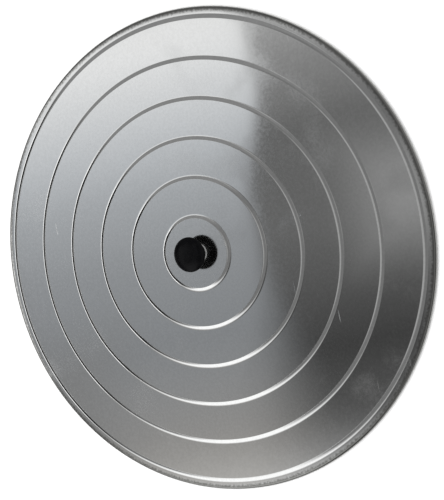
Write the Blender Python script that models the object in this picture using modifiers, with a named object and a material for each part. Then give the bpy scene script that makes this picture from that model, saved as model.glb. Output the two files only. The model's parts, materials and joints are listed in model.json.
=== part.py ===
"""Stepped pan lid in sheet aluminium, with a mushroom knob held by one screw. Metres, +Z up.

The lid lies flat on its rolled rim, at z = 0, with the knob up and its axis on Z.
"""

import math

import bpy

# Lid: one sheet, with steps that fall outwards and a rolled rim
RIM_RADIUS = 0.250  # over the bead
SHEET = 0.0012
BEAD_RADIUS = 0.00275  # outside of the rolled bead
BEAD_CURL = math.radians(105)  # how far the sheet curls back up past the bead's lowest point
RIM_STEP_INSET = 0.010  # from the rim's outside to the middle of the rim step
FIRST_STEP_RADIUS = 0.0384
STEP_SPACING = 0.0401
LAST_BAND_SHARE = 0.5  # a step needs this share of the spacing free between it and the rim step
STEP_WIDTH = 0.0046
STEP_SLOPE = math.radians(25)  # slope just under a step's sharp shoulder

# Knob: heights are above the lid's flat centre
KNOB_RADIUS = 0.018
KNOB_RIM_HEIGHT = 0.0134  # of the head's widest circle
KNOB_DOME = 0.0045  # rise of the dome above that circle
KNOB_EDGE = 0.0013  # rounding under the widest circle
COLLAR_RADIUS = 0.0113
COLLAR_HEIGHT = 0.0075
COLLAR_WALL = 0.0008
COLLAR_FLOOR = 0.0010

# Threaded bush, moulded into the stem
INSERT_LENGTH = 0.009
INSERT_FLATS = 0.008  # across the flats of its hexagon
INSERT_GROOVE_WIDTH = 0.002
INSERT_GROOVE_DEPTH = 0.0006

# M5 pan-head screw and its washers, under the sheet
SCREW_RADIUS = 0.0025
SCREW_LENGTH = 0.012
SCREW_TIP_CHAMFER = 0.0006
HEAD_RADIUS = 0.0048
HEAD_HEIGHT = 0.0033
HEAD_CROWN = 0.0015  # the part of the head's height that curves in
SLOT_WIDTH = 0.0012
SLOT_DEPTH = 0.0015
WASHER_RADIUS = 0.0085
WASHER_THICKNESS = 0.0010
SPRING_RADIUS = 0.0045
SPRING_THICKNESS = 0.0013
SPRING_SPLIT = 0.0008
SPRING_SPLIT_ANGLE = math.radians(25)
EDGE_CHAMFER = 0.0002

# Clearances
GAP = 0.0003  # between pieces that touch
BORE_CLEARANCE = 0.0003  # between the screw and each hole that it passes

# Facets of each turned piece
LID_SEGMENTS = 64
KNOB_SEGMENTS = 40
SMALL_SEGMENTS = 24
ARC_STEPS = 6  # facets of a half turn of the bead
STEP_FACETS = 2

BORE_RADIUS = SCREW_RADIUS + BORE_CLEARANCE
STEP_ARC_RADIUS = STEP_WIDTH / math.sin(STEP_SLOPE)
STEP_DROP = STEP_ARC_RADIUS * (1 - math.cos(STEP_SLOPE))


def arc(center, radius, start, end, steps):
    """Points of an arc in the XZ plane; angles are in degrees from +X towards +Z."""
    angles = [math.radians(start + (end - start) * i / steps) for i in range(steps + 1)]
    return [(center[0] + radius * math.cos(a), center[1] + radius * math.sin(a)) for a in angles]


def ellipse(center, size, start, end, steps):
    """Points of an elliptical arc; size is its two half-axes."""
    points = arc((0, 0), 1, start, end, steps)
    return [(center[0] + size[0] * x, center[1] + size[1] * z) for x, z in points]


def material(name, color, metallic, roughness):
    made = bpy.data.materials.new(name)
    made.use_nodes = True
    shader = made.node_tree.nodes["Principled BSDF"]
    shader.inputs["Base Color"].default_value = (*color, 1)
    shader.inputs["Metallic"].default_value = metallic
    shader.inputs["Roughness"].default_value = roughness
    return made


def new_collection(name):
    made = bpy.data.collections.new(name)
    bpy.context.scene.collection.children.link(made)
    return made


def add_turned(name, profile, segments, collection, closed=False):
    """Turns a profile of (radius, height) points round Z. A closed profile is a ring's section."""
    count = len(profile)
    edges = [(i, (i + 1) % count) for i in range(count if closed else count - 1)]
    mesh = bpy.data.meshes.new(name)
    mesh.from_pydata([(radius, 0, height) for radius, height in profile], edges, [])
    made = bpy.data.objects.new(name, mesh)
    collection.objects.link(made)
    screw = made.modifiers.new("Turn", "SCREW")
    screw.axis = "Z"
    screw.steps = segments
    screw.render_steps = segments
    screw.use_merge_vertices = True
    screw.merge_threshold = 0.00001
    screw.use_smooth_shade = True
    return made


def finish_part(part, finish, parent=None):
    part.data.materials.append(finish)
    part.parent = parent
    return part


def hide_cutter(cutter):
    cutter.hide_render = True
    cutter.display_type = "WIRE"
    return cutter


def move_to(part, collection):
    for holder in list(part.users_collection):
        holder.objects.unlink(part)
    collection.objects.link(part)


def add_box_cutter(name, size, location, rotation=(0, 0, 0)):
    bpy.ops.mesh.primitive_cube_add(size=1, location=location, rotation=rotation)
    box = bpy.context.object
    box.name = name
    box.scale = size
    bpy.ops.object.transform_apply(location=False, rotation=False, scale=True)
    move_to(box, cutters)
    return hide_cutter(box)


def add_boolean(part, cutter, operation="DIFFERENCE"):
    boolean = part.modifiers.new(cutter.name, "BOOLEAN")
    boolean.operation = operation
    boolean.object = cutter


def ring_section(inner, outer, low, high):
    """A flat ring's section, with its outer corners chamfered."""
    return [
        (outer - EDGE_CHAMFER, high),
        (outer, high - EDGE_CHAMFER),
        (outer, low + EDGE_CHAMFER),
        (outer - EDGE_CHAMFER, low),
        (inner, low),
        (inner, high),
    ]


def step_radii():
    """The middle radius of each step: as many evenly spaced ones as fit, then the rim step."""
    rim_step = RIM_RADIUS - RIM_STEP_INSET
    room = (rim_step - FIRST_STEP_RADIUS) / STEP_SPACING - LAST_BAND_SHARE
    inner = [FIRST_STEP_RADIUS + i * STEP_SPACING for i in range(math.floor(room) + 1)]
    return inner + [rim_step]


def centre_height():
    """Height of the lid's flat centre: the flange's top, and every step above it."""
    return 2 * BEAD_RADIUS + len(step_radii()) * STEP_DROP


def lid_outline():
    """The sheet's upper face, from the screw hole out to the end of the curl under the rim."""
    height = centre_height()
    outline = [(BORE_RADIUS, height)]
    for radius in step_radii():
        height -= STEP_DROP
        foot = (radius + STEP_WIDTH / 2, height + STEP_ARC_RADIUS)
        outline += arc(foot, STEP_ARC_RADIUS, -90 - math.degrees(STEP_SLOPE), -90, STEP_FACETS)
    bead = (RIM_RADIUS - BEAD_RADIUS, BEAD_RADIUS)
    outline += arc(bead, BEAD_RADIUS, 90, -90, ARC_STEPS)
    curl_steps = math.ceil(ARC_STEPS * BEAD_CURL / math.pi)
    outline += arc(bead, BEAD_RADIUS, -90, -90 - math.degrees(BEAD_CURL), curl_steps)[1:]
    return outline


def add_lid_shell():
    lid = add_turned("lid_shell", lid_outline(), LID_SEGMENTS, parts)
    wall = lid.modifiers.new("Sheet", "SOLIDIFY")
    wall.thickness = SHEET
    wall.offset = -1
    wall.use_even_offset = True
    return finish_part(lid, satin_aluminium)


def add_collar():
    """A cup that the stem stands in."""
    top = GAP + COLLAR_HEIGHT
    inner = COLLAR_RADIUS - COLLAR_WALL
    section = [
        (COLLAR_RADIUS, top),
        (COLLAR_RADIUS, GAP),
        (BORE_RADIUS, GAP),
        (BORE_RADIUS, GAP + COLLAR_FLOOR),
        (inner, GAP + COLLAR_FLOOR),
        (inner, top),
    ]
    collar = add_turned("knob_collar", section, KNOB_SEGMENTS, parts, closed=True)
    return finish_part(collar, bright_aluminium, knob_axis)


def stem_bottom():
    return GAP + COLLAR_FLOOR + GAP


def insert_body(name, grow, collection):
    """The hexagonal bush. grow is added all round, to make the pocket that it sits in."""
    outer = INSERT_FLATS / 2 / math.cos(math.pi / 6) + grow
    groove = INSERT_FLATS / 2 - INSERT_GROOVE_DEPTH + grow
    low = stem_bottom()
    high = low + INSERT_LENGTH + grow
    middle = low + INSERT_LENGTH / 2
    half = INSERT_GROOVE_WIDTH / 2 - grow
    outline = [(0, high), (outer, high), (outer, middle + half), (groove, middle + half)]
    outline += [(groove, middle - half), (outer, middle - half), (outer, low - grow), (0, low - grow)]
    body = add_turned(name, outline, SMALL_SEGMENTS, collection)
    bpy.ops.mesh.primitive_cylinder_add(
        vertices=6,
        radius=(INSERT_FLATS / 2 + grow) / math.cos(math.pi / 6),
        depth=4 * INSERT_LENGTH,
        location=(0, 0, middle),
    )
    hexagon = bpy.context.object
    hexagon.name = name + "_hexagon"
    move_to(hexagon, cutters)
    add_boolean(body, hide_cutter(hexagon), "INTERSECT")
    hexagon.parent = knob_axis
    return body


def add_insert():
    insert = insert_body("knob_insert", 0, parts)
    low = stem_bottom() - GAP
    high = stem_bottom() + INSERT_LENGTH + GAP
    bore_outline = [(0, high), (BORE_RADIUS, high), (BORE_RADIUS, low), (0, low)]
    bore = hide_cutter(add_turned("insert_bore", bore_outline, SMALL_SEGMENTS, cutters))
    bore.parent = knob_axis
    add_boolean(insert, bore)
    return finish_part(insert, brass, knob_axis)


def add_knob():
    """A domed head that flares out from the collar's top, on a stem inside the collar."""
    seat = GAP + COLLAR_HEIGHT + GAP
    stem = COLLAR_RADIUS - COLLAR_WALL - GAP
    edge = KNOB_RADIUS - KNOB_EDGE
    outline = ellipse((0, KNOB_RIM_HEIGHT), (KNOB_RADIUS, KNOB_DOME), 90, 0, 8)
    outline += arc((edge, KNOB_RIM_HEIGHT), KNOB_EDGE, 0, -90, 3)[1:]
    flare = (edge - COLLAR_RADIUS, KNOB_RIM_HEIGHT - KNOB_EDGE - seat)
    outline += ellipse((edge, seat), flare, 90, 180, 4)[1:]
    outline += [(stem, seat), (stem, stem_bottom()), (0, stem_bottom())]
    knob = add_turned("knob", outline, KNOB_SEGMENTS, parts)
    pocket = hide_cutter(insert_body("insert_pocket", GAP, cutters))
    pocket.parent = knob_axis
    add_boolean(knob, pocket)
    return finish_part(knob, phenolic, knob_axis)


def washer_top():
    return -SHEET - GAP


def spring_top():
    return washer_top() - WASHER_THICKNESS - GAP


def head_top():
    return spring_top() - SPRING_THICKNESS - GAP


def add_flat_washer():
    low = washer_top() - WASHER_THICKNESS
    section = ring_section(BORE_RADIUS, WASHER_RADIUS, low, washer_top())
    washer = add_turned("flat_washer", section, SMALL_SEGMENTS, parts, closed=True)
    return finish_part(washer, zinc_steel, knob_axis)


def add_spring_washer():
    low = spring_top() - SPRING_THICKNESS
    section = ring_section(BORE_RADIUS, SPRING_RADIUS, low, spring_top())
    washer = add_turned("spring_washer", section, SMALL_SEGMENTS, parts, closed=True)
    split = add_box_cutter(
        "spring_split",
        (2 * SPRING_RADIUS, SPRING_SPLIT, 4 * SPRING_THICKNESS),
        (SPRING_RADIUS, 0, low + SPRING_THICKNESS / 2),
        (SPRING_SPLIT_ANGLE, 0, 0),
    )
    split.parent = knob_axis
    add_boolean(washer, split)
    return finish_part(washer, zinc_steel, knob_axis)


def add_screw():
    """A slotted pan-head screw, head down, with its thread left plain."""
    top = head_top()
    low = top - HEAD_HEIGHT
    tip = top + SCREW_LENGTH
    outline = [(0, tip), (SCREW_RADIUS - SCREW_TIP_CHAMFER, tip)]
    outline += [(SCREW_RADIUS, tip - SCREW_TIP_CHAMFER), (SCREW_RADIUS, top), (HEAD_RADIUS, top)]
    crown = (HEAD_CROWN, HEAD_CROWN)
    outline += ellipse((HEAD_RADIUS - HEAD_CROWN, low + HEAD_CROWN), crown, 0, -90, 3)
    outline += [(0, low)]
    screw = add_turned("knob_screw", outline, SMALL_SEGMENTS, parts)
    slot = add_box_cutter(
        "screw_slot",
        (4 * HEAD_RADIUS, SLOT_WIDTH, 2 * SLOT_DEPTH),
        (0, 0, low),
    )
    slot.parent = knob_axis
    add_boolean(screw, slot)
    return finish_part(screw, zinc_steel, knob_axis)


for old in list(bpy.data.objects):
    bpy.data.objects.remove(old)

parts = new_collection("stepped_pan_lid")
cutters = new_collection("cutters")

satin_aluminium = material("satin_aluminium", (0.62, 0.63, 0.62), 1, 0.35)
bright_aluminium = material("bright_aluminium", (0.80, 0.80, 0.79), 1, 0.18)
phenolic = material("black_phenolic", (0.010, 0.010, 0.011), 0, 0.22)
brass = material("brass", (0.72, 0.53, 0.24), 1, 0.30)
zinc_steel = material("zinc_plated_steel", (0.58, 0.58, 0.57), 1, 0.30)

# The knob, and everything that its screw holds, turns about this axis.
knob_axis = bpy.data.objects.new("knob_axis", None)
knob_axis.location = (0, 0, centre_height())
parts.objects.link(knob_axis)

add_lid_shell()
add_collar()
add_insert()
add_knob()
add_flat_washer()
add_spring_washer()
add_screw()
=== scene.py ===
"""Looks of the stepped pan lid: a satin aluminium sheet with pressed steps and a rolled rim,
and a black knob in a bright collar, held by one screw from below. Metres, +Z up."""

import json
import math

import bpy
from mathutils import Matrix, Vector

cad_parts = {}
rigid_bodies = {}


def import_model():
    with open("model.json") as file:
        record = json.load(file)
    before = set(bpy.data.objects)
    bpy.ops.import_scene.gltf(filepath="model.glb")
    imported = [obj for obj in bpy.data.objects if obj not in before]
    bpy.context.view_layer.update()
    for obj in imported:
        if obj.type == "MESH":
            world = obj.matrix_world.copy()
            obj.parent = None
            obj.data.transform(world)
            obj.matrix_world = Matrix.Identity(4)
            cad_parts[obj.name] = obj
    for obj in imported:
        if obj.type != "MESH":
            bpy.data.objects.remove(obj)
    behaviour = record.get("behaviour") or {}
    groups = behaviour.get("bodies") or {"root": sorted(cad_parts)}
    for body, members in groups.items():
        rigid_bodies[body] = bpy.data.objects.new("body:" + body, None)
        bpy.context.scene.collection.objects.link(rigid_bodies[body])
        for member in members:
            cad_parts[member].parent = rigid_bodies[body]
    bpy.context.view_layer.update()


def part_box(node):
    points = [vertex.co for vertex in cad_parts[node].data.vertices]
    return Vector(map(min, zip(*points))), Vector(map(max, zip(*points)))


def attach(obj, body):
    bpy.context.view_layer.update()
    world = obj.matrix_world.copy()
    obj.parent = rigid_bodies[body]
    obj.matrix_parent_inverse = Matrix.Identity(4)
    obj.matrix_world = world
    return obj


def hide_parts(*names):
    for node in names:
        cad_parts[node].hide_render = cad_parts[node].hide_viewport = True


for old in list(bpy.data.objects):
    bpy.data.objects.remove(old)
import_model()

MM = 0.001

# Lid sheet
SHEET = 1.2 * MM
BEAD_RADIUS = 2.75 * MM  # outside of the rolled rim
BEAD_CURL = 105  # degrees that the curl goes on past the rim's lowest point
BORE_RADIUS = 2.8 * MM
FIRST_STEP = 38.4 * MM
STEP_SPACING = 40.1 * MM
STEP_COUNT = 5
RIM_STEP_INSET = 10 * MM  # from the rim's outside
STEP_WIDTH = 4.6 * MM
STEP_SLOPE = 25  # degrees, just under a step's shoulder
SHOULDER_FILLET = 0.6 * MM
RIM_PAINTED_SHADE = (243.5 * MM, 247.5 * MM)  # painted shade: the sheet's colour darkens from here outwards, over the rolled rim
CENTRE_WORN = (44 * MM, 34 * MM)  # and fingers round the knob, from here inwards
HOLD = 0.25 * MM  # a ring this near to a bend keeps the flat beside it flat
SHEET_EDGE = 0.2 * MM  # rounding of the sheet's two cut edges
CUT_EDGE_ANGLE = math.radians(50)  # edges that bend less than this aren't rounded

# Knob
KNOB_RADIUS = 18 * MM
KNOB_RIM_HEIGHT = 13.4 * MM  # of the head's widest circle, above the lid's flat centre
KNOB_EDGE = 1.3 * MM
COLLAR_WALL = 0.8 * MM
COLLAR_FLOOR = 1.0 * MM
STEM_FILLET = 0.25 * MM
COLLAR_FILLET = 0.2 * MM
GAP = 0.3 * MM  # between pieces that touch

# Screw, insert and washers
THREAD_RADIUS = 2.5 * MM
THREAD_PITCH = 0.8 * MM
THREAD_DEPTH = 0.43 * MM
PLAIN_SHANK = 1.6 * MM  # between the head and the thread
SCREW_TIP_CHAMFER = 0.6 * MM
HEAD_CROWN = 1.5 * MM
HEAD_CHAMFER = 0.15 * MM
SLOT_WIDTH = 1.2 * MM
SLOT_DEPTH = 1.5 * MM
INSERT_GROOVE_WIDTH = 2 * MM
INSERT_GROOVE_DEPTH = 0.6 * MM
INSERT_CHAMFER = 0.5 * MM
FLAT_WASHER_FILLET = 0.18 * MM
SPRING_WASHER_FILLET = 0.15 * MM
SPRING_SPLIT = 0.8 * MM
SPRING_SPLIT_ANGLE = 25  # degrees from upright

# Meshes: segments round Z, straight lines to an arc, and what counts as one point or as a sharp edge
LID_SEGMENTS = 256
KNOB_SEGMENTS = 96
SMALL_SEGMENTS = 64
FLOOR_SEGMENTS = 96
SHOULDER_LINES = 4
HOLLOW_LINES = 12
BEAD_LINES = 38
DOME_LINES = 24
KNOB_EDGE_LINES = 8
FLARE_LINES = 12
CROWN_LINES = 8
FILLET_LINES = 4
WELD = 0.002 * MM
SHARP_ANGLE = math.radians(40)

# Camera: the point it looks at, its distance from it, its direction and roll in degrees, and its lens
CAMERA_AIM = Vector((-0.0022, -0.0259, 0.00275))
CAMERA_DISTANCE = 1.0236
CAMERA_ELEVATION = 61.32
CAMERA_TURN = 0.25
CAMERA_ROLL = 102.27
CAMERA_LENS = 72

# Floor, and the overhead light on it
FLOOR_RADIUS = 6
FLOOR_DROP = 0.1 * MM  # below the lid's rim, so that the two don't touch
OVERHEAD_STRENGTH = 3.2
OVERHEAD_SPREAD = math.radians(80)

# Surface marks
SCRATCH_ENDS = (0.1, 0.3)  # where a stroke starts to fade, and where it is gone, from its middle outwards
SCRATCH_CHOICE = 0.001  # how narrow the change is, in cells' random values, from no stroke to a whole one
PIT_CHOICE = (0.62, 0.64)  # a cell whose random value is higher has a pit


# --- Profiles: (radius, height) points -------------------------------------------------

def arc(center, radius, start, end, lines):
    """Points of an arc, with angles in degrees from outwards towards up.

    The radius may be a pair of half-axes, across and up."""
    across, up = radius if isinstance(radius, tuple) else (radius, radius)
    angles = [math.radians(start + (end - start) * i / lines) for i in range(lines + 1)]
    return [(center[0] + across * math.cos(a), center[1] + up * math.sin(a)) for a in angles]


def step_profile(radius, top):
    """One pressed step: a small rounded shoulder, then a hollow that runs out onto the next band.

    Gives its points, and the height of that band."""
    slope = math.radians(STEP_SLOPE)
    hollow = STEP_WIDTH / math.sin(slope)
    drop = hollow * (1 - math.cos(slope))
    shoulder = radius - STEP_WIDTH / 2
    tangent = SHOULDER_FILLET * math.tan(slope / 2)
    foot = (radius + STEP_WIDTH / 2, top - drop + hollow)
    points = [(shoulder - tangent - HOLD, top)]
    points += arc((shoulder - tangent, top - SHOULDER_FILLET), SHOULDER_FILLET, 90, 90 - STEP_SLOPE,
                  SHOULDER_LINES)
    points += arc(foot, hollow, -90 - STEP_SLOPE, -90, HOLLOW_LINES)[1:]
    points += [(foot[0] + HOLD, top - drop)]
    return points, top - drop


def lid_profile(rim_radius, top):
    """The sheet's upper face, from the screw hole out to the end of the curl."""
    radii = [FIRST_STEP + i * STEP_SPACING for i in range(STEP_COUNT)] + [rim_radius - RIM_STEP_INSET]
    height = top
    points = [(BORE_RADIUS, height), (BORE_RADIUS + HOLD, height)]
    for radius in radii:
        step, height = step_profile(radius, height)
        middle = (points[-1][0] + step[0][0]) / 2
        points += [(middle, points[-1][1])] + step
    bead = (rim_radius - BEAD_RADIUS, BEAD_RADIUS)
    points += arc(bead, BEAD_RADIUS, 90, -90 - BEAD_CURL, BEAD_LINES)
    return points


def rounded(corners, fillet):
    """An outline of (radius, height) corners with all but its first and last one rounded off."""
    points = [corners[0]]
    for before, here, after in zip(corners, corners[1:], corners[2:]):
        here_v = Vector(here)
        ahead, back = Vector(after) - here_v, Vector(before) - here_v
        ahead.normalize()
        back.normalize()
        half = back.angle(ahead) / 2
        reach = fillet / math.tan(half)
        middle = here_v + (ahead + back).normalized() * fillet / math.sin(half)
        first, last = here_v + back * reach - middle, here_v + ahead * reach - middle
        for i in range(FILLET_LINES + 1):
            points.append(tuple(middle + fillet * first.slerp(last, i / FILLET_LINES)))
    points.append(corners[-1])
    return points


def closed(corners):
    """A closed outline of corners that starts and ends halfway along its first side."""
    start = ((corners[0][0] + corners[1][0]) / 2, (corners[0][1] + corners[1][1]) / 2)
    return [start] + corners[1:] + [corners[0], start]


def thread(root, crest, low, high):
    """Ridges between two radii, one to each pitch, from low up to high."""
    count = int((high - low) / THREAD_PITCH)
    points = []
    for i in range(count):
        points += [(root, low + i * THREAD_PITCH), (crest, low + (i + 0.5) * THREAD_PITCH)]
    return points + [(root, low + count * THREAD_PITCH)]


# --- Modelling ---------------------------------------------------------------------------

def start_piece(name, add_primitive):
    """Adds a primitive with nothing else selected, and opens it for editing."""
    bpy.ops.object.select_all(action="DESELECT")
    add_primitive()
    piece = bpy.context.object
    piece.name = name
    piece.data.name = name
    bpy.ops.object.mode_set(mode="EDIT")
    bpy.ops.mesh.select_all(action="SELECT")
    return piece


def turned(name, profile, segments):
    """Draws a profile of (radius, height) points edge by edge, and spins it round Z."""
    piece = start_piece(name, lambda: bpy.ops.mesh.primitive_plane_add(size=MM))
    bpy.ops.mesh.merge(type="CENTER")
    bpy.ops.transform.translate(value=(profile[0][0], 0, profile[0][1]))
    for (r0, z0), (r1, z1) in zip(profile, profile[1:]):
        bpy.ops.mesh.extrude_region_move(TRANSFORM_OT_translate={"value": (r1 - r0, 0, z1 - z0)})
    bpy.ops.mesh.select_all(action="SELECT")
    bpy.ops.mesh.spin(steps=segments, angle=math.tau, center=(0, 0, 0), axis=(0, 0, 1))
    bpy.ops.mesh.select_all(action="SELECT")
    bpy.ops.mesh.remove_doubles(threshold=WELD)
    bpy.ops.mesh.normals_make_consistent(inside=False)
    bpy.ops.object.mode_set(mode="OBJECT")
    bpy.ops.object.shade_smooth_by_angle(angle=SHARP_ANGLE)
    return piece


def apply_modifier(piece, kind, **settings):
    """Adds a modifier to the active piece, and applies it."""
    modifier = piece.modifiers.new(kind.lower(), kind)
    for name, value in settings.items():
        setattr(modifier, name, value)
    bpy.ops.object.modifier_apply(modifier=modifier.name)


def hexagon(name, half_flats, low, high):
    """A hexagonal bar round Z."""
    corner = half_flats / math.cos(math.pi / 6)
    place = {"depth": high - low, "location": (0, 0, (low + high) / 2)}
    piece = start_piece(name, lambda: bpy.ops.mesh.primitive_cylinder_add(vertices=6, radius=corner, **place))
    bpy.ops.object.mode_set(mode="OBJECT")
    return piece


def block(name, size, middle, tilt=0):
    """A block of a size round its middle, tilted about X by degrees."""
    place = {"location": middle, "rotation": (math.radians(tilt), 0, 0), "scale": size}
    piece = start_piece(name, lambda: bpy.ops.mesh.primitive_cube_add(size=1, **place))
    bpy.ops.object.mode_set(mode="OBJECT")
    return piece


def cut(piece, cutter, operation="DIFFERENCE"):
    """Cuts a piece with another one, or keeps what both share. The other one is then removed."""
    bpy.ops.object.select_all(action="DESELECT")
    piece.select_set(True)
    bpy.context.view_layer.objects.active = piece
    apply_modifier(piece, "BOOLEAN", object=cutter, operation=operation, solver="EXACT")
    bpy.data.objects.remove(cutter)
    bpy.ops.object.shade_smooth_by_angle(angle=SHARP_ANGLE)


def finish_piece(piece, finish, body, slot, *nodes):
    """Gives a piece its material and its body, and hides the CAD nodes that it stands for. Its slot is not
    used.
    """
    piece.data.materials.clear()
    piece.data.materials.append(finish)
    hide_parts(*nodes)
    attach(piece, body)


def add_lid():
    """The upper face is turned, and then given the sheet's thickness, downwards."""
    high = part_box("lid_shell")[1]
    lid = turned("lid_sheet", lid_profile(high.x, high.z), LID_SEGMENTS)
    apply_modifier(lid, "SOLIDIFY", thickness=SHEET, offset=-1, use_even_offset=True)
    edges = {"limit_method": "ANGLE", "angle_limit": CUT_EDGE_ANGLE}
    apply_modifier(lid, "BEVEL", width=SHEET_EDGE, segments=2, **edges)
    bpy.ops.object.shade_smooth_by_angle(angle=SHARP_ANGLE)
    finish_piece(lid, satin_aluminium(), "lid", "lid_sheet", "lid_shell")


def add_knob():
    """A domed head that flares out from the collar's top, on a stem with a pocket for the insert."""
    low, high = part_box("knob")
    insert_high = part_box("knob_insert")[1]
    collar_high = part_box("knob_collar")[1]
    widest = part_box("lid_shell")[1].z + KNOB_RIM_HEIGHT
    seat = collar_high.z + GAP
    stem = collar_high.x - COLLAR_WALL - GAP
    edge = KNOB_RADIUS - KNOB_EDGE
    outline = arc((0, widest), (KNOB_RADIUS, high.z - widest), 90, 0, DOME_LINES)
    outline += arc((edge, widest), KNOB_EDGE, 0, -90, KNOB_EDGE_LINES)[1:]
    flare = (edge - collar_high.x, widest - KNOB_EDGE - seat)
    outline += arc((edge, seat), flare, 90, 180, FLARE_LINES)[1:]
    outline += rounded([outline[-1], (stem, seat), (stem, low.z), (0, low.z)], STEM_FILLET)[1:]
    knob = turned("knob_head", outline, KNOB_SEGMENTS)
    cut(knob, hexagon("insert_pocket", insert_high.x + GAP, low.z - GAP, insert_high.z + GAP))
    finish_piece(knob, black_phenolic(), "knob_stack", "phenolic", "knob")


def add_collar():
    """A bright cup, open at the top, that covers the stem."""
    low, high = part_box("knob_collar")
    inner = high.x - COLLAR_WALL
    floor = low.z + COLLAR_FLOOR
    corners = [(inner, floor), (inner, high.z), (high.x, high.z), (high.x, low.z)]
    corners += [(BORE_RADIUS, low.z), (BORE_RADIUS, floor)]
    collar = turned("collar_cup", rounded(closed(corners), COLLAR_FILLET), KNOB_SEGMENTS)
    finish_piece(collar, bright_aluminium(), "knob_stack", "collar", "knob_collar")


def add_insert():
    """A hexagonal bush with a threaded bore, and a groove that keys it into the resin."""
    low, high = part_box("knob_insert")
    corner = high.x / math.cos(math.pi / 6)
    middle = (low.z + high.z) / 2
    half = INSERT_GROOVE_WIDTH / 2
    groove = high.x - INSERT_GROOVE_DEPTH
    flat = corner - INSERT_CHAMFER
    slope = INSERT_CHAMFER / 2
    corners = [(BORE_RADIUS, high.z), (flat, high.z), (corner, high.z - slope), (corner, middle + half)]
    corners += [(groove, middle + half), (groove, middle - half), (corner, middle - half)]
    corners += [(corner, low.z + slope), (flat, low.z), (BORE_RADIUS, low.z)]
    lead = THREAD_PITCH / 2
    bore = thread(BORE_RADIUS, BORE_RADIUS + THREAD_DEPTH, low.z + lead, high.z - lead)
    insert = turned("insert_bush", corners + bore + corners[:1], SMALL_SEGMENTS)
    cut(insert, hexagon("insert_flats", high.x, low.z - MM, high.z + MM), "INTERSECT")
    finish_piece(insert, brass(), "knob_stack", "brass", "knob_insert")


def add_flat_washer():
    """A plain ring, which lies against the sheet."""
    low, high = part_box("flat_washer")
    corners = [(BORE_RADIUS, low.z), (BORE_RADIUS, high.z), (high.x, high.z), (high.x, low.z)]
    washer = turned("washer_disc", rounded(closed(corners), FLAT_WASHER_FILLET), SMALL_SEGMENTS)
    finish_piece(washer, zinc_plated_steel(), "knob_stack", "fastener_steel", "flat_washer")


def add_spring_washer():
    """A split ring, pressed flat by the screw."""
    low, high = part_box("spring_washer")
    outer = -low.x
    corners = [(BORE_RADIUS, low.z), (BORE_RADIUS, high.z), (outer, high.z), (outer, low.z)]
    washer = turned("washer_spring", rounded(closed(corners), SPRING_WASHER_FILLET), SMALL_SEGMENTS)
    size = (2 * outer, SPRING_SPLIT, 4 * (high.z - low.z))
    cut(washer, block("split", size, (outer, 0, (low.z + high.z) / 2), SPRING_SPLIT_ANGLE))
    finish_piece(washer, zinc_plated_steel(), "knob_stack", "fastener_steel", "spring_washer")


def add_screw():
    """A slotted pan-head screw, head down, with ridges for its thread."""
    low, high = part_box("knob_screw")
    head = high.x
    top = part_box("spring_washer")[0].z - GAP
    outline = [(0, low.z)]
    outline += arc((head - HEAD_CROWN, low.z + HEAD_CROWN), HEAD_CROWN, -90, 0, CROWN_LINES)
    outline += [(head, top - HEAD_CHAMFER), (head - HEAD_CHAMFER, top), (THREAD_RADIUS, top)]
    first = top + PLAIN_SHANK
    outline += [(THREAD_RADIUS, first - THREAD_PITCH / 2)]
    outline += thread(THREAD_RADIUS - THREAD_DEPTH, THREAD_RADIUS, first, high.z - SCREW_TIP_CHAMFER)
    outline += [(THREAD_RADIUS - SCREW_TIP_CHAMFER, high.z), (0, high.z)]
    screw = turned("slotted_screw", outline, SMALL_SEGMENTS)
    cut(screw, block("slot", (4 * head, SLOT_WIDTH, 2 * SLOT_DEPTH), (0, 0, low.z)))
    finish_piece(screw, zinc_plated_steel(), "knob_stack", "fastener_steel", "knob_screw")


# --- Materials ---------------------------------------------------------------------------

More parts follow.
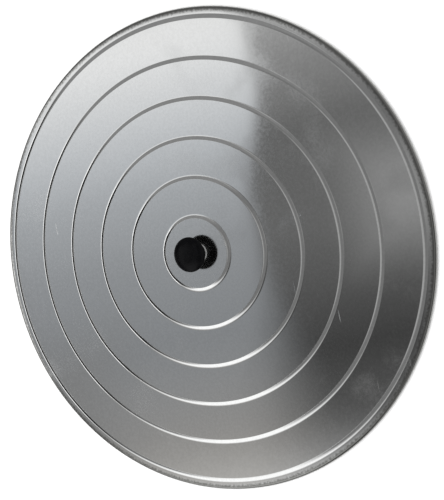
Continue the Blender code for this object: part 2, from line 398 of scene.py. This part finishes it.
class Nodes:
    """Short calls that add shader nodes, and link their inputs."""

    MIX_INPUTS = (0, 6, 7)  # share, first and second colour
    MIX_OUTPUT = 2

    def __init__(self, tree):
        self.tree = tree

    def add(self, kind, **settings):
        node = self.tree.nodes.new(kind)
        for name, value in settings.items():
            setattr(node, name, value)
        return node

    def put(self, socket, value):
        """Links a socket to an input, or sets a constant on it."""
        if isinstance(value, bpy.types.NodeSocket):
            self.tree.links.new(value, socket)
        else:
            socket.default_value = value

    def math(self, operation, *values):
        node = self.add("ShaderNodeMath", operation=operation)
        for socket, value in zip(node.inputs, values):
            self.put(socket, value)
        return node.outputs[0]

    def rise(self, value, start, end, low=0.0, high=1.0):
        """A smooth change from low to high as value goes from start to end."""
        node = self.add("ShaderNodeMapRange", interpolation_type="SMOOTHSTEP")
        names = ("Value", "From Min", "From Max", "To Min", "To Max")
        for name, given in zip(names, (value, start, end, low, high)):
            self.put(node.inputs[name], given)
        return node.outputs["Result"]

    def ramp(self, value, stops):
        """Follows (value, grey) stops, with an even change between them."""
        low, high = stops[0][0], stops[-1][0]
        share = self.math("DIVIDE", self.math("SUBTRACT", value, low), high - low)
        node = self.add("ShaderNodeValToRGB")
        elements = node.color_ramp.elements
        elements[1].position = 1
        elements[1].color = grey(stops[-1][1])
        elements[0].color = grey(stops[0][1])
        for place, level in stops[1:-1]:
            elements.new((place - low) / (high - low)).color = grey(level)
        self.put(node.inputs[0], share)
        return node.outputs["Color"]

    def mix(self, share, first, second, blend_type="MIX"):
        """A share of the second colour in the first."""
        node = self.add("ShaderNodeMix", data_type="RGBA", blend_type=blend_type)
        for socket, value in zip(self.MIX_INPUTS, (share, first, second)):
            self.put(node.inputs[socket], value)
        return node.outputs[self.MIX_OUTPUT]

    def tinted(self, color, tint):
        return self.mix(1.0, color, tint, "MULTIPLY")

    def inside(self, across, along, middle, half, soft):
        """1 inside a box in across and along, and 0 outside it, with a change of twice soft at its edge."""
        reach = [self.math("SUBTRACT", self.math("ABSOLUTE", self.math("SUBTRACT", value, place)), size)
                 for value, place, size in zip((across, along), middle, half)]
        return self.rise(self.math("MAXIMUM", *reach), -soft, soft, 1.0, 0.0)

    def place(self, scale=(1, 1, 1), turn=0):
        """Object coordinates in metres, turned about Z by degrees, then scaled."""
        node = self.add("ShaderNodeMapping", vector_type="POINT")
        node.inputs["Rotation"].default_value = (0, 0, math.radians(turn))
        node.inputs["Scale"].default_value = scale
        self.put(node.inputs["Vector"], self.add("ShaderNodeTexCoord").outputs["Object"])
        return node.outputs[0]

    def split(self, vector):
        node = self.add("ShaderNodeSeparateXYZ")
        self.put(node.inputs[0], vector)
        return node.outputs

    def length(self, x, y):
        return self.math("SQRT", self.math("ADD", self.math("MULTIPLY", x, x), self.math("MULTIPLY", y, y)))

    def radius(self):
        """Distance from Z, in metres."""
        return self.length(*self.split(self.place())[:2])

    def noise(self, size, detail=3, place=None):
        """Soft noise on the piece, from 0 to 1, with patches of about a size in metres."""
        node = self.add("ShaderNodeTexNoise")
        for name, value in (("Vector", place or self.place()), ("Scale", 1 / size), ("Detail", detail)):
            self.put(node.inputs[name], value)
        return node.outputs[0]

    def bump(self, height, distance, before=None):
        """Raises the surface by height times distance, on top of an earlier bump."""
        node = self.add("ShaderNodeBump")
        node.inputs["Distance"].default_value = distance
        self.put(node.inputs["Height"], height)
        if before:
            self.put(node.inputs["Normal"], before)
        return node.outputs[0]


def grey(level):
    return (level, level, level, 1)


def new_material(name, metallic, roughness, color):
    """A material, and its shader."""
    made = bpy.data.materials.new(name)
    made.use_nodes = True
    shader = made.node_tree.nodes["Principled BSDF"]
    shader.inputs["Base Color"].default_value = (*color, 1)
    shader.inputs["Metallic"].default_value = metallic
    shader.inputs["Roughness"].default_value = roughness
    return made, shader


def scratches(nodes, turn, length, width, share):
    """1 along straight thin strokes at a turn in degrees. A larger share gives more of them."""
    cells = (1 / length, 1 / (4 * width), 1 / length)  # a stroke fills about a quarter of its cell's width
    node = nodes.add("ShaderNodeTexVoronoi")
    nodes.put(node.inputs["Vector"], nodes.place(cells, turn))
    nodes.put(node.inputs["Scale"], 1)
    stroke = nodes.rise(node.outputs["Distance"], *SCRATCH_ENDS, 1.0, 0.0)
    chosen = nodes.rise(node.outputs["Color"], 1 - share, 1 - share + SCRATCH_CHOICE)
    return nodes.math("MULTIPLY", stroke, chosen)


def pits(nodes, spacing, radius):
    """1 inside sparse round pits, about a spacing apart and softened from half their radius outwards."""
    node = nodes.add("ShaderNodeTexVoronoi")
    nodes.put(node.inputs["Vector"], nodes.place())
    nodes.put(node.inputs["Scale"], 1 / spacing)
    dot = nodes.rise(node.outputs["Distance"], 0.5 * radius / spacing, radius / spacing, 1.0, 0.0)
    chosen = nodes.rise(node.outputs["Color"], *PIT_CHOICE)
    return nodes.math("MULTIPLY", dot, chosen)


def satin_aluminium():
    """Rolled sheet: soft grain, slight waves, smudges, fine scratches and a few pits, with painted shade
    darkening the rolled rim.
    """
    made, shader = new_material("satin_aluminium", 1, 0.07, (0.80, 0.805, 0.80))
    nodes = Nodes(made.node_tree)
    waves = nodes.noise(90 * MM, 2)
    mottle = nodes.noise(2.6 * MM, 4)
    grain = nodes.noise(0.4 * MM, 2)
    smudges = nodes.rise(nodes.noise(60 * MM, 6), 0.52, 0.72)
    long_marks = scratches(nodes, 25, 40 * MM, 0.3 * MM, 0.09)
    short_marks = scratches(nodes, -62, 30 * MM, 0.3 * MM, 0.07)
    marks = nodes.math("MAXIMUM", long_marks, short_marks)
    holes = pits(nodes, 40 * MM, 1.5 * MM)

    darker, paler = (0.775, 0.78, 0.775, 1), (0.825, 0.83, 0.825, 1)
    pit_color, rim_shade_color = (0.22, 0.21, 0.20, 1), (0.27, 0.27, 0.26, 1)
    sheet_tone_and_shade = nodes.mix(nodes.rise(mottle, 0.3, 0.7), darker, paler)
    sheet_tone_and_shade = nodes.mix(nodes.math("MULTIPLY", holes, 0.75), sheet_tone_and_shade, pit_color)
    radius = nodes.radius()
    # Painted shade: the sheet's colour darkens outwards over the rolled rim, from an uneven start.
    uneven = nodes.math("MULTIPLY", nodes.math("SUBTRACT", mottle, 0.5), 6 * MM)
    rim_painted_shade = nodes.rise(nodes.math("ADD", radius, uneven), *RIM_PAINTED_SHADE)
    sheet_tone_and_shade = nodes.mix(rim_painted_shade, sheet_tone_and_shade, rim_shade_color)
    nodes.put(shader.inputs["Base Color"], sheet_tone_and_shade)
    rough = nodes.math("ADD", nodes.rise(mottle, 0.3, 0.7, 0.05, 0.07), nodes.math("MULTIPLY", smudges, 0.07))
    rough = nodes.math("ADD", rough, nodes.math("MULTIPLY", marks, 0.25))
    rough = nodes.math("ADD", rough, nodes.rise(radius, *CENTRE_WORN, 0.0, 0.06))
    nodes.put(shader.inputs["Roughness"], rough)
    normal = nodes.bump(waves, 0.07 * MM)
    normal = nodes.bump(grain, 0.0012 * MM, normal)
    normal = nodes.bump(marks, -0.02 * MM, normal)
    normal = nodes.bump(holes, -0.1 * MM, normal)
    nodes.put(shader.inputs["Normal"], normal)
    return made


def turned_metal(name, color, roughness, line_spacing):
    """Metal with fine lathe lines round Z, uneven in depth, and a little tarnish."""
    made, shader = new_material(name, 1, roughness, color)
    nodes = Nodes(made.node_tree)
    travel = nodes.add("ShaderNodeCombineXYZ")
    nodes.put(travel.inputs[0], nodes.radius())
    nodes.put(travel.inputs[1], nodes.split(nodes.place())[2])
    lines = nodes.noise(line_spacing, 2, travel.outputs[0])
    tarnish = nodes.noise(2.4 * MM, 4)
    dull = tuple(0.82 * value for value in color)
    tarnished = nodes.mix(nodes.rise(tarnish, 0.42, 0.72), (*color, 1), (*dull, 1))
    nodes.put(shader.inputs["Base Color"], tarnished)
    cloudy = nodes.rise(tarnish, 0.35, 0.7, roughness * 0.85, roughness * 1.3)
    grooved = nodes.rise(lines, 0.4, 0.7, 0.0, roughness * 0.25)
    nodes.put(shader.inputs["Roughness"], nodes.math("ADD", cloudy, grooved))
    nodes.put(shader.inputs["Normal"], nodes.bump(lines, 0.008 * MM))
    return made


def bright_aluminium():
    return turned_metal("bright_aluminium", (0.86, 0.86, 0.85), 0.12, 0.25 * MM)


def brass():
    return turned_metal("machined_brass", (0.76, 0.55, 0.25), 0.24, 0.3 * MM)


def zinc_plated_steel():
    """Thin zinc over steel: spangled greys with a faint blue and straw tint."""
    made, shader = new_material("zinc_plated_steel", 1, 0.28, (0.62, 0.63, 0.64))
    nodes = Nodes(made.node_tree)
    tint = nodes.noise(3 * MM)
    specks = nodes.noise(0.4 * MM)
    coat = nodes.mix(nodes.rise(tint, 0.38, 0.66), (0.60, 0.62, 0.65, 1), (0.66, 0.64, 0.58, 1))
    coat = nodes.mix(nodes.rise(specks, 0.55, 0.75), coat, (0.50, 0.50, 0.49, 1))
    nodes.put(shader.inputs["Base Color"], coat)
    nodes.put(shader.inputs["Roughness"], nodes.rise(specks, 0.35, 0.7, 0.22, 0.38))
    nodes.put(shader.inputs["Normal"], nodes.bump(specks, 0.006 * MM))
    return made


def black_phenolic():
    """Black moulded resin with a soft shine, slightly uneven, with a few dull rubs from fingers."""
    made, shader = new_material("black_phenolic", 0, 0.25, (0.002, 0.002, 0.0025))
    shader.inputs["Specular IOR Level"].default_value = 0.12
    nodes = Nodes(made.node_tree)
    cloud = nodes.noise(8 * MM, 4)
    skin = nodes.noise(1.1 * MM, 2)
    long_rubs = scratches(nodes, 15, 6 * MM, 0.06 * MM, 0.2)
    short_rubs = scratches(nodes, 100, 5 * MM, 0.06 * MM, 0.2)
    rubs = nodes.math("MAXIMUM", long_rubs, short_rubs)
    resin = nodes.mix(nodes.rise(cloud, 0.4, 0.7), (0.0012, 0.0012, 0.0016, 1), (0.0025, 0.0025, 0.003, 1))
    nodes.put(shader.inputs["Base Color"], resin)
    rough = nodes.math("ADD", nodes.rise(cloud, 0.35, 0.7, 0.22, 0.36), nodes.math("MULTIPLY", rubs, 0.2))
    nodes.put(shader.inputs["Roughness"], rough)
    nodes.put(shader.inputs["Normal"], nodes.bump(skin, 0.01 * MM))
    return made


# --- Stage -------------------------------------------------------------------------------

def add_camera():
    """Looks down on the lid, rolled so that the lid seems to stand nearly upright."""
    turn, rise = math.radians(CAMERA_TURN), math.radians(CAMERA_ELEVATION)
    back = Vector((math.sin(turn) * math.cos(rise), -math.cos(turn) * math.cos(rise), math.sin(rise)))
    data = bpy.data.cameras.new("camera")
    data.lens = CAMERA_LENS
    camera = bpy.data.objects.new("camera", data)
    bpy.context.scene.collection.objects.link(camera)
    aim = (-back).to_track_quat("-Z", "Y").to_matrix()
    hold = Matrix.Rotation(math.radians(-CAMERA_ROLL), 3, "Z")
    camera.matrix_world = Matrix.Translation(CAMERA_AIM + CAMERA_DISTANCE * back) @ (aim @ hold).to_4x4()
    bpy.context.scene.camera = camera


def add_floor():
    disc = {"vertices": FLOOR_SEGMENTS, "radius": FLOOR_RADIUS, "fill_type": "NGON"}
    floor = start_piece("floor", lambda: bpy.ops.mesh.primitive_circle_add(**disc))
    bpy.ops.object.mode_set(mode="OBJECT")
    floor.location.z = -FLOOR_DROP
    made, shader = new_material("pale_floor", 0, 0.9, (0.86, 0.86, 0.86))
    shader.inputs["Specular IOR Level"].default_value = 0
    floor.data.materials.append(made)


def add_floor_light():
    """Lights the floor and other dull surfaces; the metal doesn't mirror it."""
    data = bpy.data.lights.new("overhead", "SUN")
    data.energy = OVERHEAD_STRENGTH
    data.angle = OVERHEAD_SPREAD
    lamp = bpy.data.objects.new("overhead", data)
    bpy.context.scene.collection.objects.link(lamp)
    lamp.visible_glossy = False


# The studio round the metal, in degrees from overhead: across is towards +X, along is towards +Y.
# A bright wall lies past an edge, and a shaded one before it. Each follows (across, grey) stops.
WALL_GREYS = [(-16, 0.36), (-5, 0.28), (0, 0.34), (4, 0.46), (8, 0.69), (12, 0.93), (16, 1.0)]
SHADE_GREYS = [(-16, 0.20), (-12, 0.11), (-7, 0.055), (0, 0.15), (6, 0.15), (10, 0.28), (16, 0.6)]
EDGE_FIRST, EDGE_LAST = 26.5, 24.5  # where the edge lies along, before and after its bend
EDGE_BEND = (2, 10)  # across
EDGE_SOFT, EDGE_SHARP = 3.4, 0.3  # half the edge's width, before and after it gets sharper
EDGE_FOCUS = (-12, 2)  # across
WARM_TINT = (1.04, 1.0, 0.95, 1)
WARM_END = (-14, -4)  # across, where the bright wall's warm side ends
COOL_TINT = (0.96, 1.0, 1.05, 1)
COOL_END = (4, 14)  # across, where its cool middle ends
WALLS_MIDDLE, WALLS_HALF, WALLS_SOFT = (0, 29), (16, 13), 3
OVERHEAD_GREY = 0.2  # everywhere else
LEAST_LEVEL = 1e-4  # keeps the point straight overhead from dividing by nothing

# Soft panels round them: middle (across, along), half size, half the width of the soft edge, grey
PANELS = [
    ((1, 17), (2.5, 3), 3, 0.33),  # a faint glow on the shaded wall
    ((0, -26), (90, 14), 5, 0.40),  # a wide grey band on the -Y side
    ((45, -65), (45, 25), 8, 0.45),  # the low corner between +X and -Y
    ((54, 47), (36, 43), 5, 0.27),  # a dim field on the +X side
    ((-9, 39), (4, 2), 4, 0.24),  # a small dim patch at the bright wall's far end
    ((2, 46), (16, 3), 1, 1.6),  # a bright strip past the walls, for the steps' bright arcs
    ((0, 60), (30, 11), 1.5, 0.015),  # a nearly black band past it, for the steps' dark lines
    ((0, 83), (90, 12), 3, 0.32),  # a grey horizon on the +Y side
    ((-37, 31), (20, 15), 7, 1.2),  # a large bright panel on the -X side
]


def add_studio():
    """Surrounds the metal with soft light; the camera itself sees plain white past the floor."""
    world = bpy.data.worlds.new("studio")
    bpy.context.scene.world = world
    world.use_nodes = True
    nodes = Nodes(world.node_tree)
    background = world.node_tree.nodes["Background"]
    x, y, z = nodes.split(nodes.add("ShaderNodeTexCoord").outputs["Generated"])
    level = nodes.math("MAXIMUM", nodes.length(x, y), LEAST_LEVEL)
    tilt = nodes.math("DEGREES", nodes.math("ARCCOSINE", z))
    scale = nodes.math("DIVIDE", tilt, level)
    across = nodes.math("MULTIPLY", scale, x)
    along = nodes.math("MULTIPLY", scale, y)

    edge = nodes.rise(across, *EDGE_BEND, EDGE_FIRST, EDGE_LAST)
    softness = nodes.rise(across, *EDGE_FOCUS, EDGE_SOFT, EDGE_SHARP)
    past = nodes.math("DIVIDE", nodes.math("SUBTRACT", along, edge), softness)
    cool_side = nodes.mix(nodes.rise(across, *COOL_END), COOL_TINT, grey(1))
    tint = nodes.mix(nodes.rise(across, *WARM_END), WARM_TINT, cool_side)
    wall = nodes.tinted(nodes.ramp(across, WALL_GREYS), tint)
    walls = nodes.mix(nodes.rise(past, -1, 1), nodes.ramp(across, SHADE_GREYS), wall)
    walls_share = nodes.inside(across, along, WALLS_MIDDLE, WALLS_HALF, WALLS_SOFT)
    sky = nodes.mix(walls_share, grey(OVERHEAD_GREY), walls)
    for middle, half, soft, panel_grey in PANELS:
        sky = nodes.mix(nodes.inside(across, along, middle, half, soft), sky, grey(panel_grey))
    nodes.put(background.inputs["Color"], sky)

    seen = nodes.add("ShaderNodeLightPath").outputs["Is Camera Ray"]
    plain = nodes.add("ShaderNodeBackground")
    plain.inputs["Color"].default_value = grey(1)
    choose = nodes.add("ShaderNodeMixShader")
    nodes.put(choose.inputs[0], seen)
    nodes.put(choose.inputs[1], background.outputs[0])
    nodes.put(choose.inputs[2], plain.outputs[0])
    nodes.put(world.node_tree.nodes["World Output"].inputs["Surface"], choose.outputs[0])


add_lid()
add_knob()
add_collar()
add_insert()
add_flat_washer()
add_spring_washer()
add_screw()
add_camera()
add_floor()
add_floor_light()
add_studio()
bpy.context.scene.view_settings.view_transform = "Standard"
